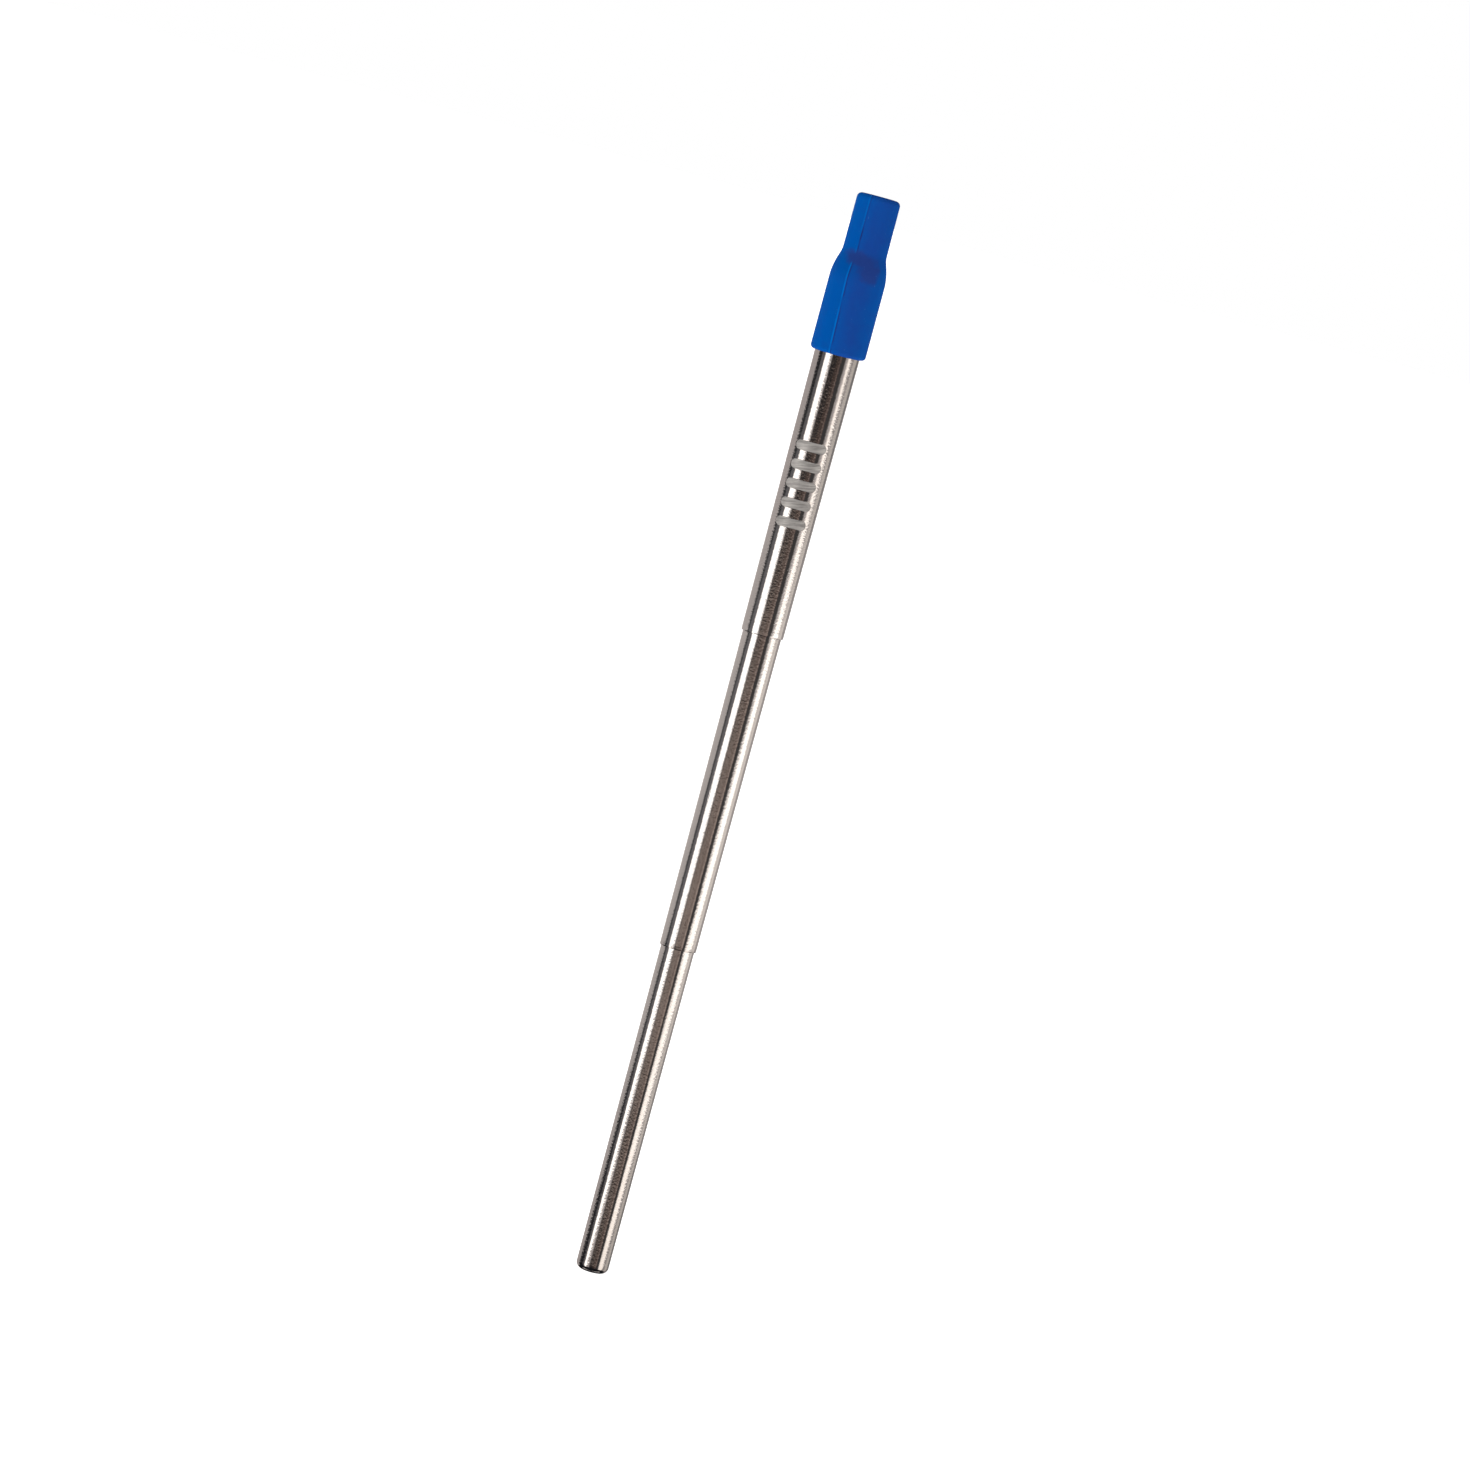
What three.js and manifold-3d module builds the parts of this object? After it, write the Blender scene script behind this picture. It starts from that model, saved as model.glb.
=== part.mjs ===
// Telescopic drinking straw: three tapered steel tubes that slide into each other and a soft
// mouthpiece pushed over the widest tube. It stands along +Z with its foot at the origin.
// All sizes are in millimetres.
import * as THREE from "three";
import { mergeVertices } from "three/addons/utils/BufferGeometryUtils.js";
import Module from "manifold-3d";

// Lengths that show when the straw is drawn out, from the foot upwards.
const INNER_SHOWN = 62.2;
const MIDDLE_SHOWN = 60.0;
const OUTER_SHOWN = 53.1;
const MOUTHPIECE_LENGTH = 29.7;

// Steel tubes: wall, running clearance, and each tube's radius at its rim and growth per mm.
const WALL = 0.2;
const RUNNING = 0.03;
const OVERLAP_MIDDLE = 9.0;
const OVERLAP_INNER = 8.6;
const TUBE_IN_MOUTHPIECE = 14.5;
const INNER_RIM_RADIUS = 3.07;
const INNER_TAPER = 0.00163;
const MIDDLE_RIM_RADIUS = 3.4625;
const MIDDLE_TAPER = 0.00318;
const OUTER_RIM_RADIUS = 3.982;
const OUTER_TAPER = 0.00473;
const FOOT_LIP_RADIUS = 1.25;

// Grooved head of the middle and inner tubes, measured up from the rim that they run through.
const SLEEVE_START = 0.8;
const SLEEVE_LENGTH = 5.0;
const SLEEVE_PLAY = 0.1;
const SLEEVE_SLOT = 0.6;
const SLEEVE_THICKNESS = 0.42;
const LAND = 0.8;
const SEAL_SECTION = 0.46;
const SEAL_GROOVE = 0.66;
const HEAD_LAND_EXTRA = 0.015;

// Mouthpiece: a round socket below, a shoulder, and a flattened mouth above.
const SOCKET_CLEARANCE = 0.04;
const BASE_RADIUS = 5.2;
const BASE_EDGE_RADIUS = 0.73;
const MOUTH_HALF_WIDTH = 4.2;
const MOUTH_TOP_HALF_WIDTH = 4.14;
const MOUTH_HALF_DEPTH = 3.45;
const MOUTH_LENGTH = 10.1;
const MOUTH_EDGE_RADIUS = 0.9;
const SHOULDER_ANGLE = THREE.MathUtils.degToRad(16.7);
const SHOULDER_LOWER_RADIUS = 12.7;
const SHOULDER_UPPER_RADIUS = 4.6;
const SOCKET_STEP_GAP = 0.2;
const CHANNEL_START_RADIUS = 3.5;
const CHANNEL_HALF_WIDTH = 2.95;
const CHANNEL_HALF_DEPTH = 2.25;
const CHANNEL_BLEND = 4.0;
const CHANNEL_EDGE = 0.12;

// Facets round each turned piece.
const SIDES = 48;
const OVERCUT = 1.0;

const wasm = await Module();
wasm.setup();

const MIDDLE_RIM = INNER_SHOWN;
const OUTER_RIM = MIDDLE_RIM + MIDDLE_SHOWN;
const MOUTHPIECE_RIM = OUTER_RIM + OUTER_SHOWN;
const TOP = MOUTHPIECE_RIM + MOUTHPIECE_LENGTH;

const innerRadius = (z) => INNER_RIM_RADIUS + INNER_TAPER * z;
const middleRadius = (z) => MIDDLE_RIM_RADIUS + MIDDLE_TAPER * (z - MIDDLE_RIM);
const outerRadius = (z) => OUTER_RIM_RADIUS + OUTER_TAPER * (z - OUTER_RIM);

// Points of an arc in the (radius, height) plane; angles are in degrees from the radius axis.
function arc(centreR, centreZ, radius, from, to, steps) {
  const points = [];
  for (let i = 0; i <= steps; i += 1) {
    const angle = THREE.MathUtils.degToRad(from + ((to - from) * i) / steps);
    points.push([centreR + radius * Math.cos(angle), centreZ + radius * Math.sin(angle)]);
  }
  return points;
}

// A solid of revolution about Z from [radius, height] points that start and end on the axis or
// close on themselves.
function turned(points) {
  const profile = points.map(([r, z]) => new THREE.Vector2(r, z));
  return new THREE.LatheGeometry(profile, SIDES).rotateX(Math.PI / 2);
}

function closed(points) {
  return [...points, points[0]];
}

// Squeezes a geometry along Y by a factor that depends on the height.
function flattened(geometry, factorAt) {
  const position = geometry.attributes.position;
  for (let i = 0; i < position.count; i += 1) {
    position.setY(i, position.getY(i) * factorAt(position.getZ(i)));
  }
  return geometry;
}

function solid(geometry) {
  const bare = geometry.clone();
  bare.deleteAttribute("normal");
  bare.deleteAttribute("uv");
  const merged = mergeVertices(bare, 1e-4);
  const vertProperties = new Float32Array(merged.attributes.position.array);
  const triVerts = new Uint32Array(merged.index.array);
  return new wasm.Manifold(new wasm.Mesh({ numProp: 3, vertProperties, triVerts }));
}

function geometryOf(body) {
  const mesh = body.getMesh();
  const geometry = new THREE.BufferGeometry();
  geometry.setAttribute("position", new THREE.BufferAttribute(mesh.vertProperties, 3));
  geometry.setIndex(new THREE.BufferAttribute(mesh.triVerts, 1));
  geometry.computeVertexNormals();
  return geometry;
}

// Where the rings sit on a tube's head, given the rim that it runs through and the bore there.
function headPlan(rimZ, radiusAt, boreAt, overlap) {
  const sleeveLow = rimZ + SLEEVE_START;
  const sleeveHigh = sleeveLow + SLEEVE_LENGTH;
  const ringRadius = boreAt(sleeveLow) - RUNNING;
  const sealLow = sleeveHigh + SLEEVE_PLAY + LAND;
  return {
    sleeveLow,
    sleeveHigh,
    ringRadius,
    floor: ringRadius - SLEEVE_THICKNESS - RUNNING,
    land: radiusAt(rimZ) + RUNNING + HEAD_LAND_EXTRA,
    sealLow,
    sealHigh: sealLow + SEAL_GROOVE,
    top: rimZ + overlap,
  };
}

const outerBore = (z) => outerRadius(z) - WALL;
const middleBore = (z) => middleRadius(z) - WALL;
const middleHead = headPlan(OUTER_RIM, middleRadius, outerBore, OVERLAP_MIDDLE);
const innerHead = headPlan(MIDDLE_RIM, innerRadius, middleBore, OVERLAP_INNER);

// Outside of a grooved head, going up: sleeve groove, land, seal groove, end land.
function headOutside(plan, radiusAt) {
  const grooveLow = plan.sleeveLow - SLEEVE_PLAY;
  const grooveHigh = plan.sleeveHigh + SLEEVE_PLAY;
  return [
    [radiusAt(grooveLow), grooveLow],
    [plan.floor, grooveLow],
    [plan.floor, grooveHigh],
    [plan.land, grooveHigh],
    [plan.land, plan.sealLow],
    [plan.floor, plan.sealLow],
    [plan.floor, plan.sealHigh],
    [plan.land, plan.sealHigh],
    [plan.land, plan.top - WALL / 2],
    [plan.land - WALL / 2, plan.top],
  ];
}

// Inside of the same head, going down: the wall follows the grooves at its own thickness.
function headInside(plan, radiusAt) {
  const grooveLow = plan.sleeveLow - SLEEVE_PLAY - WALL;
  const grooveHigh = plan.sleeveHigh + SLEEVE_PLAY + WALL;
  return [
    [plan.land - WALL, plan.top],
    [plan.land - WALL, plan.sealHigh + WALL],
    [plan.floor - WALL, plan.sealHigh + WALL],
    [plan.floor - WALL, plan.sealLow - WALL],
    [plan.land - WALL, plan.sealLow - WALL],
    [plan.land - WALL, grooveHigh],
    [plan.floor - WALL, grooveHigh],
    [plan.floor - WALL, grooveLow],
    [radiusAt(grooveLow) - WALL, grooveLow],
  ];
}

// Lower end of a tube necked in to guide the next one: round outside edge, short inner lip.
function neckedRim(rimZ, rimRadius, guideRadius) {
  const outsideRadius = rimRadius - guideRadius;
  const insideRadius = outsideRadius - WALL;
  const outside = arc(guideRadius, rimZ + outsideRadius, outsideRadius, -90, 0, 4);
  const inside = arc(guideRadius, rimZ + outsideRadius, insideRadius, 0, -90, 3);
  return { outside, inside };
}

function makeOuterTube() {
  const rim = neckedRim(OUTER_RIM, OUTER_RIM_RADIUS, middleRadius(OUTER_RIM) + RUNNING);
  const top = MOUTHPIECE_RIM + TUBE_IN_MOUTHPIECE;
  const bevel = WALL / 3;
  return turned(
    closed([
      ...rim.outside,
      [outerRadius(top - bevel), top - bevel],
      [outerRadius(top) - bevel, top],
      [outerRadius(top) - WALL, top],
      ...rim.inside,
    ]),
  );
}

function makeMiddleTube() {
  const rim = neckedRim(MIDDLE_RIM, MIDDLE_RIM_RADIUS, innerRadius(MIDDLE_RIM) + RUNNING);
  return turned(
    closed([
      ...rim.outside,
      ...headOutside(middleHead, middleRadius),
      ...headInside(middleHead, middleRadius),
      ...rim.inside,
    ]),
  );
}

// The inner tube's foot is turned in to a round lip that ends in a narrow flat ring.
function makeInnerTube() {
  const lipCentre = INNER_RIM_RADIUS - FOOT_LIP_RADIUS;
  const holeRadius = lipCentre - WALL;
  return turned(
    closed([
      [holeRadius, 0],
      ...arc(lipCentre, FOOT_LIP_RADIUS, FOOT_LIP_RADIUS, -90, 0, 8),
      ...headOutside(innerHead, innerRadius),
      ...headInside(innerHead, innerRadius),
      ...arc(lipCentre, FOOT_LIP_RADIUS, FOOT_LIP_RADIUS - WALL, 0, -90, 6),
      [holeRadius, WALL],
    ]),
  );
}

// Split sleeve: a C-shaped band that springs open against the bore and gives the slide its hold.
function makeSleeve(plan) {
  const inside = plan.floor + RUNNING;
  const outsideHalfSlot = Math.asin(SLEEVE_SLOT / 2 / plan.ringRadius);
  const insideHalfSlot = Math.asin(SLEEVE_SLOT / 2 / inside);
  const band = new THREE.Shape();
  band.absarc(0, 0, plan.ringRadius, outsideHalfSlot, 2 * Math.PI - outsideHalfSlot, false);
  band.absarc(0, 0, inside, 2 * Math.PI - insideHalfSlot, insideHalfSlot, true);
  const settings = { depth: SLEEVE_LENGTH, bevelEnabled: false, curveSegments: SIDES };
  return new THREE.ExtrudeGeometry(band, settings).translate(0, 0, plan.sleeveLow);
}

// Round seal ring in the upper groove.
function makeSealRing(plan) {
  const section = SEAL_SECTION / 2;
  const middle = plan.ringRadius - section;
  const height = (plan.sealLow + plan.sealHigh) / 2;
  return new THREE.TorusGeometry(middle, section, 10, SIDES).translate(0, 0, height);
}

// Half-width of the mouthpiece's outside, from its rim over the shoulder to the mouth.
function mouthpieceOutside() {
  const mouthStart = TOP - MOUTH_LENGTH;
  const degrees = THREE.MathUtils.radToDeg(SHOULDER_ANGLE);
  const turn = 1 - Math.cos(SHOULDER_ANGLE);
  const arcsIn = (SHOULDER_LOWER_RADIUS + SHOULDER_UPPER_RADIUS) * turn;
  const arcsUp = (SHOULDER_LOWER_RADIUS + SHOULDER_UPPER_RADIUS) * Math.sin(SHOULDER_ANGLE);
  const straightUp = (BASE_RADIUS - MOUTH_HALF_WIDTH - arcsIn) / Math.tan(SHOULDER_ANGLE);
  const shoulderStart = mouthStart - arcsUp - straightUp;
  const lowerCentre = BASE_RADIUS - SHOULDER_LOWER_RADIUS;
  const upperCentre = MOUTH_HALF_WIDTH + SHOULDER_UPPER_RADIUS;
  const baseEdge = BASE_RADIUS - BASE_EDGE_RADIUS;
  const mouthEdge = MOUTH_TOP_HALF_WIDTH - MOUTH_EDGE_RADIUS;
  return {
    shoulderStart,
    mouthStart,
    points: [
      [0, MOUTHPIECE_RIM],
      ...arc(baseEdge, MOUTHPIECE_RIM + BASE_EDGE_RADIUS, BASE_EDGE_RADIUS, -90, 0, 5),
      ...arc(lowerCentre, shoulderStart, SHOULDER_LOWER_RADIUS, 0, degrees, 5),
      ...arc(upperCentre, mouthStart, SHOULDER_UPPER_RADIUS, 180 + degrees, 180, 4),
      ...arc(mouthEdge, TOP - MOUTH_EDGE_RADIUS, MOUTH_EDGE_RADIUS, 0, 90, 5),
      [0, TOP],
    ],
  };
}

function makeMouthpiece() {
  const outside = mouthpieceOutside();
  const outerFlat = MOUTH_HALF_DEPTH / MOUTH_HALF_WIDTH;
  const outerFactor = (z) =>
    1 - (1 - outerFlat) * THREE.MathUtils.smoothstep(z, outside.shoulderStart, outside.mouthStart);
  const body = solid(flattened(turned(outside.points), outerFactor));

  const tubeTop = MOUTHPIECE_RIM + TUBE_IN_MOUTHPIECE;
  const socketRadius = outerRadius(tubeTop) + SOCKET_CLEARANCE;
  const socketTop = tubeTop + SOCKET_STEP_GAP;
  const socket = solid(
    turned([
      [0, MOUTHPIECE_RIM - OVERCUT],
      [socketRadius, MOUTHPIECE_RIM - OVERCUT],
      [socketRadius, socketTop],
      [0, socketTop],
    ]),
  );

  const blendTop = socketTop + CHANNEL_BLEND;
  const channelFlat = CHANNEL_HALF_DEPTH / CHANNEL_HALF_WIDTH;
  const channelFactor = (z) =>
    1 - (1 - channelFlat) * THREE.MathUtils.smoothstep(z, socketTop, blendTop);
  const channelPoints = [
    [0, socketTop - OVERCUT],
    [CHANNEL_START_RADIUS, socketTop - OVERCUT],
  ];
  const blendSteps = 5;
  for (let i = 0; i <= blendSteps; i += 1) {
    const share = THREE.MathUtils.smoothstep(i, 0, blendSteps);
    const radius = THREE.MathUtils.lerp(CHANNEL_START_RADIUS, CHANNEL_HALF_WIDTH, share);
    channelPoints.push([radius, socketTop + (CHANNEL_BLEND * i) / blendSteps]);
  }
  channelPoints.push(
    [CHANNEL_HALF_WIDTH, TOP - CHANNEL_EDGE],
    [CHANNEL_HALF_WIDTH + CHANNEL_EDGE, TOP],
    [CHANNEL_HALF_WIDTH + CHANNEL_EDGE, TOP + OVERCUT],
    [0, TOP + OVERCUT],
  );
  const channel = solid(flattened(turned(channelPoints), channelFactor));
  return geometryOf(body.subtract(socket).subtract(channel));
}

const steel = () => new THREE.MeshStandardMaterial({ color: 0xb4aca6, roughness: 0.15, metalness: 1 });
const silicone = () => new THREE.MeshStandardMaterial({ color: 0x10509c, roughness: 0.6 });
const polymer = () => new THREE.MeshStandardMaterial({ color: 0xe9e6dc, roughness: 0.45 });
const seal = () => new THREE.MeshStandardMaterial({ color: 0xd9d9d4, roughness: 0.55 });

const straw = new THREE.Group();

function add(name, geometry, material) {
  const mesh = new THREE.Mesh(geometry, material);
  mesh.name = name;
  straw.add(mesh);
}

add("mouthpiece", makeMouthpiece(), silicone());
add("outer_tube", makeOuterTube(), steel());
add("middle_tube", makeMiddleTube(), steel());
add("middle_friction_sleeve", makeSleeve(middleHead), polymer());
add("middle_seal_ring", makeSealRing(middleHead), seal());
add("inner_tube", makeInnerTube(), steel());
add("inner_friction_sleeve", makeSleeve(innerHead), polymer());
add("inner_seal_ring", makeSealRing(innerHead), seal());

export default straw;
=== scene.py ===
"""Telescopic drinking straw: three polished steel tubes, their rings, and a silicone mouthpiece."""

import math

import bmesh
import bpy
from bpy.props import FloatProperty, FloatVectorProperty, IntProperty, PointerProperty
from mathutils import Matrix, Vector


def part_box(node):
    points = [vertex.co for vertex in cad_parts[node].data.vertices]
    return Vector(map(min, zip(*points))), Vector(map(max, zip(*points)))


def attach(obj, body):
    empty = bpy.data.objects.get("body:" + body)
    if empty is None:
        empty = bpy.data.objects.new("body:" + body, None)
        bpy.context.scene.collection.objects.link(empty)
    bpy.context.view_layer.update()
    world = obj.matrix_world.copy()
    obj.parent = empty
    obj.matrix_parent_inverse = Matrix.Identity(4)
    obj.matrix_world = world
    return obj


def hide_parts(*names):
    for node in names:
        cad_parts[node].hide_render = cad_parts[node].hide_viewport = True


bl_info = {
    "name": "Telescopic drinking straw",
    "version": (1, 0, 0),
    "blender": (4, 5, 0),
    "location": "View3D > Sidebar > Straw",
    "description": "Makes a telescopic steel straw with a silicone mouthpiece, and a small studio",
    "category": "Object",
}

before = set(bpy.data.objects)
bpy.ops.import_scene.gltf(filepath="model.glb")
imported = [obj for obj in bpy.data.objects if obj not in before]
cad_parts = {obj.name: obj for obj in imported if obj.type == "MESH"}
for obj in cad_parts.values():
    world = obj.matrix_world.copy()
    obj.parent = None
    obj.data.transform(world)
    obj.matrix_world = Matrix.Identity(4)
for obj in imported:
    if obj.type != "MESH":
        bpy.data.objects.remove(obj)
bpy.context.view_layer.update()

# Two heights or points closer than this are the same, in metres like every length here.
TINY = 1e-7
# A straight longer than this gets a ring this close to each of its ends.
LONG_STRAIGHT = 0.0009
GUARD = 0.00012
# Heights of the relief that the materials give.
WAVE_RELIEF = 0.00004
ETCHED_RELIEF = 0.00004
GRINDING_RELIEF = 0.000022
SILICONE_RELIEF = 0.000008
MOULDED_RELIEF = 0.000006


# --- settings -----------------------------------------------------------------------------------

def length(name, description, default):
    return FloatProperty(
        name=name, description=description, default=default, unit="LENGTH", precision=6
    )


def angle(name, description, degrees):
    return FloatProperty(
        name=name, description=description, default=math.radians(degrees), subtype="ANGLE"
    )


def color(name, description, default):
    return FloatVectorProperty(
        name=name, description=description, default=default, subtype="COLOR", size=3, min=0, max=1
    )


def share(name, description, default):
    return FloatProperty(
        name=name, description=description, default=default, subtype="FACTOR", min=0, max=1
    )


def watts(name, description, default):
    return FloatProperty(name=name, description=description, default=default, unit="POWER")


def count(name, description, default):
    return IntProperty(
        name=name, description=description, default=default, subtype="UNSIGNED", min=1
    )


class StrawTubeSettings(bpy.types.PropertyGroup):
    """Sizes and finish of the steel tubes and of the rings on their heads."""

    sides: count("Sides", "Facets round each turned piece", 128)
    wall: length("Wall", "Thickness of the steel", 0.0002)
    clearance: length("Clearance", "Gap in radius between sliding pieces", 0.00003)
    foot_edge: length("Foot edge", "Radius of the foot's turned-in lip", 0.00125)
    rim_edge: length("Rim edge", "Rounding of the rims' outside edge", 0.00007)
    rim_draw: length("Rim draw", "Height over which the rims are drawn in", 0.0012)
    rim_bend: length("Rim bend", "Radius of the drawn-in part of the rims", 0.06)
    fold: length("Fold", "Radius of the bends of the rolled grooves", 0.00008)
    seal_section: length("Seal section", "Thickness of the seal rings", 0.00046)
    slot: length("Slot", "Width of the friction sleeves' slot", 0.0006)
    steel: color("Steel", "Colour of the polished steel", (0.62, 0.592, 0.572))
    etched: color("Etched", "Colour of the etched bars", (0.4, 0.385, 0.37))
    polish: share("Polish", "Roughness of the polished steel", 0.055)
    polymer: color("Polymer", "Colour of the friction sleeves", (0.78, 0.76, 0.7))
    seal: color("Seal", "Colour of the seal rings", (0.66, 0.66, 0.63))
    bars: count("Bars", "Number of etched bars", 5)
    bar_length: length("Bar length", "Length of an etched bar round the tube", 0.0061)
    bar_width: length("Bar width", "Width of an etched bar", 0.0018)
    bar_pitch: length("Bar pitch", "Distance from one etched bar to the next", 0.0036)
    bar_height: length("Bar height", "Height of the middle bar above the outer tube's rim", 0.0285)
    bar_turn: angle("Bar turn", "Turn of the bars' middle from the camera's side", -4)


class StrawMouthpieceSettings(bpy.types.PropertyGroup):
    """Sizes and finish of the silicone mouthpiece."""

    sides: count("Sides", "Facets round the mouthpiece", 160)
    base_edge: length("Base edge", "Rounding of the lower rim", 0.00073)
    mouth_half_width: length("Mouth half width", "Half the mouth's width above the shoulder", 0.0042)
    mouth_top_half_width: length("Mouth top half width", "Half the mouth's width at its end", 0.00414)
    mouth_half_depth: length("Mouth half depth", "Half the mouth's depth, front to back", 0.00345)
    mouth_length: length("Mouth length", "Height of the mouth above the shoulder", 0.0101)
    mouth_edge: length("Mouth edge", "Rounding of the mouth's outside edge", 0.0009)
    shoulder_angle: angle("Shoulder angle", "Steepest slope of the shoulder", 16.7)
    shoulder_lower: length("Lower shoulder", "Radius of the shoulder's lower bend", 0.0127)
    shoulder_upper: length("Upper shoulder", "Radius of the shoulder's upper bend", 0.0046)
    socket_clearance: length("Socket clearance", "Gap round the top of the tube", 0.00004)
    step_gap: length("Step gap", "Gap between the tube's end and the socket's step", 0.0002)
    channel_start: length("Channel start", "Radius of the channel above the step", 0.0035)
    channel_half_width: length("Channel half width", "Half the width of the mouth's opening", 0.00295)
    channel_half_depth: length("Channel half depth", "Half the depth of the mouth's opening", 0.00225)
    channel_blend: length("Channel blend", "Height over which the channel turns oval", 0.004)
    channel_edge: length("Channel edge", "Rounding of the opening's edge", 0.00012)
    mouth_wall: length("Mouth wall", "Height of the mouth's straight wall", 0.0092)
    mouth_rings: count("Mouth rings", "Rings along the mouth's wall", 6)
    seam_width: length("Seam width", "Width of the moulding line", 0.00034)
    seam_height: length("Seam height", "How far the moulding line stands up", 0.00004)
    seam_offset: length("Seam offset", "How far the moulding line's bend is off the axis", -0.0004)
    seam_lean: angle("Seam lean", "Lean of the moulding line below its bend", 1.9)
    seam_lean_mouth: angle("Seam lean at the mouth", "Lean of the moulding line above its bend", 0.2)
    silicone: color("Silicone", "Main colour of the silicone", (0.0, 0.07, 0.315))
    # Colour of the right mould half: partly its own tone, partly painted shade.
    shade: color("Shade", "Colour of the duller half of the moulding", (0.007, 0.049, 0.255))
    # Painted highlight on the moulding line's lit edge.
    seam_highlight: color("Flash", "Colour of the moulding line's thin edge", (0.0, 0.12, 0.45))
    crease: color("Crease", "Colour of the shadowed side of the moulding line", (0.01, 0.022, 0.13))
    # Painted shade on the front of the shoulder.
    painted_shoulder_shade: color("Handled", "Colour of the patch darkened by handling", (0.014, 0.041, 0.205))
    spot_turn: angle("Patch turn", "Where the darkened patch is round the mouthpiece", 20)


class StrawStudioSettings(bpy.types.PropertyGroup):
    """Camera, floor and light."""

    azimuth: angle("Azimuth", "Where the camera stands round the straw", 20)
    elevation: angle("Elevation", "How far the camera looks down", 5.7)
    roll: angle("Roll", "Turn of the camera about its own axis", 15.05)
    field: angle("Field of view", "Width of the camera's view", 10.5)
    distance: length("Distance", "From the camera to the middle of the straw", 1.4676)
    aim: length("Aim", "Height that the camera looks at", 0.10297)
    floor: color("Floor", "Colour of the floor", (0.92, 0.92, 0.92))
    floor_radius: length("Floor radius", "Size of the round floor", 6.0)
    card_middle: angle("Card middle", "How far below level the cards' middle is", 6.4)
    warm_middle: angle("Warm middle", "How far below level the warm wall's middle is", 7.2)
    under: color("Under", "Colour of the dark below the straw", (0.012, 0.013, 0.016))
    over: color("Over", "Colour of the dark above the straw", (0.55, 0.54, 0.53))
    key_power: watts("Key power", "Power of the left softbox", 2.6)
    fill_power: watts("Fill power", "Power of the right softbox", 1.6)


# --- shader arithmetic --------------------------------------------------------------------------

class Value:
    """A shader socket that takes ordinary arithmetic; every step adds a Math node."""

    def __init__(self, graph, socket):
        self.graph = graph
        self.socket = socket

    def math(self, operation, *operands):
        return self.graph.node("ShaderNodeMath", {"operation": operation}, dict(enumerate(operands)))

    def __add__(self, other):
        return self.math("ADD", self, other)

    def __sub__(self, other):
        return self.math("SUBTRACT", self, other)

    def __rsub__(self, other):
        return self.math("SUBTRACT", other, self)

    def __mul__(self, other):
        return self.math("MULTIPLY", self, other)

    def __truediv__(self, other):
        return self.math("DIVIDE", self, other)

    def __pow__(self, other):
        return self.math("POWER", self, other)

    def __abs__(self):
        return self.math("ABSOLUTE", self)

    __radd__ = __add__
    __rmul__ = __mul__

    def least(self, other):
        return self.math("MINIMUM", self, other)

    def most(self, other):
        return self.math("MAXIMUM", self, other)

    def rises(self, low, high):
        """0 below low, 1 above high, and a smooth step between them; falls if high is below low."""
        settings = {"interpolation_type": "SMOOTHSTEP"}
        if high < low:
            return 1.0 - self.rises(high, low)
        return self.graph.node("ShaderNodeMapRange", settings, {0: self, 1: low, 2: high, 3: 0.0, 4: 1.0})

    def band(self, low, high, soft):
        """1 between low and high, with edges that are soft on both sides of each limit."""
        return self.rises(low - soft, low + soft) * self.rises(high + soft, high - soft)


class Graph:
    """The node tree of a material or a world, with one way to add a node."""

    def __init__(self, owner):
        owner.use_nodes = True
        self.tree = owner.node_tree
        self.tree.nodes.clear()

    def node(self, kind, settings=None, inputs=None, output=0):
        made = self.tree.nodes.new(kind)
        for name, value in (settings or {}).items():
            setattr(made, name, value)
        for name, value in (inputs or {}).items():
            socket = made.inputs[name]
            if isinstance(value, Value):
                self.tree.links.new(value.socket, socket)
            elif socket.type == "RGBA":
                socket.default_value = (*value[:3], 1.0)
            else:
                socket.default_value = value
        return Value(self, made.outputs[output]) if made.outputs else None

    def mix(self, factor, first, second):
        """A colour between first and second."""
        inputs = {0: factor, 6: first, 7: second}
        return self.node("ShaderNodeMix", {"data_type": "RGBA"}, inputs, 2)

    def place(self):
        """Object coordinates, as a vector and as its three numbers."""
        vector = self.node("ShaderNodeTexCoord", output="Object")
        parts = [self.node("ShaderNodeSeparateXYZ", inputs={0: vector}, output=i) for i in range(3)]
        return vector, *parts

    def vector(self, x, y, z):
        return self.node("ShaderNodeCombineXYZ", inputs={0: x, 1: y, 2: z})

    def noise(self, vector, scale=1.0, detail=2.0, roughness=0.5):
        inputs = {"Vector": vector, "Scale": scale, "Detail": detail, "Roughness": roughness}
        return self.node("ShaderNodeTexNoise", inputs=inputs)

    def bump(self, height, distance, over=None):
        """Relief of a height in metres, laid over another bump where one is given."""
        inputs = {"Height": height, "Distance": distance}
        if over:
            inputs["Normal"] = over
        return self.node("ShaderNodeBump", inputs=inputs)

    def surface(self, **inputs):
        """The Principled shader, wired to the output; sockets are named with underscores."""
        named = {name.replace("_", " "): value for name, value in inputs.items()}
        shader = self.node("ShaderNodeBsdfPrincipled", inputs=named)
        self.node("ShaderNodeOutputMaterial", inputs={"Surface": shader})


# --- mesh helpers -------------------------------------------------------------------------------

def deselect_all():
    if bpy.context.mode != "OBJECT":
        bpy.ops.object.mode_set(mode="OBJECT")
    bpy.ops.object.select_all(action="DESELECT")


def arc(centre_r, centre_z, radius, start, end, steps):
    """Points of an arc in the (radius, height) plane; angles in degrees from the radius axis."""
    turns = [math.radians(start + (end - start) * i / steps) for i in range(steps + 1)]
    return [(centre_r + radius * math.cos(a), centre_z + radius * math.sin(a)) for a in turns]


def smooth(value, low, high):
    t = min(max((value - low) / (high - low), 0.0), 1.0)
    return t * t * (3.0 - 2.0 * t)


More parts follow.
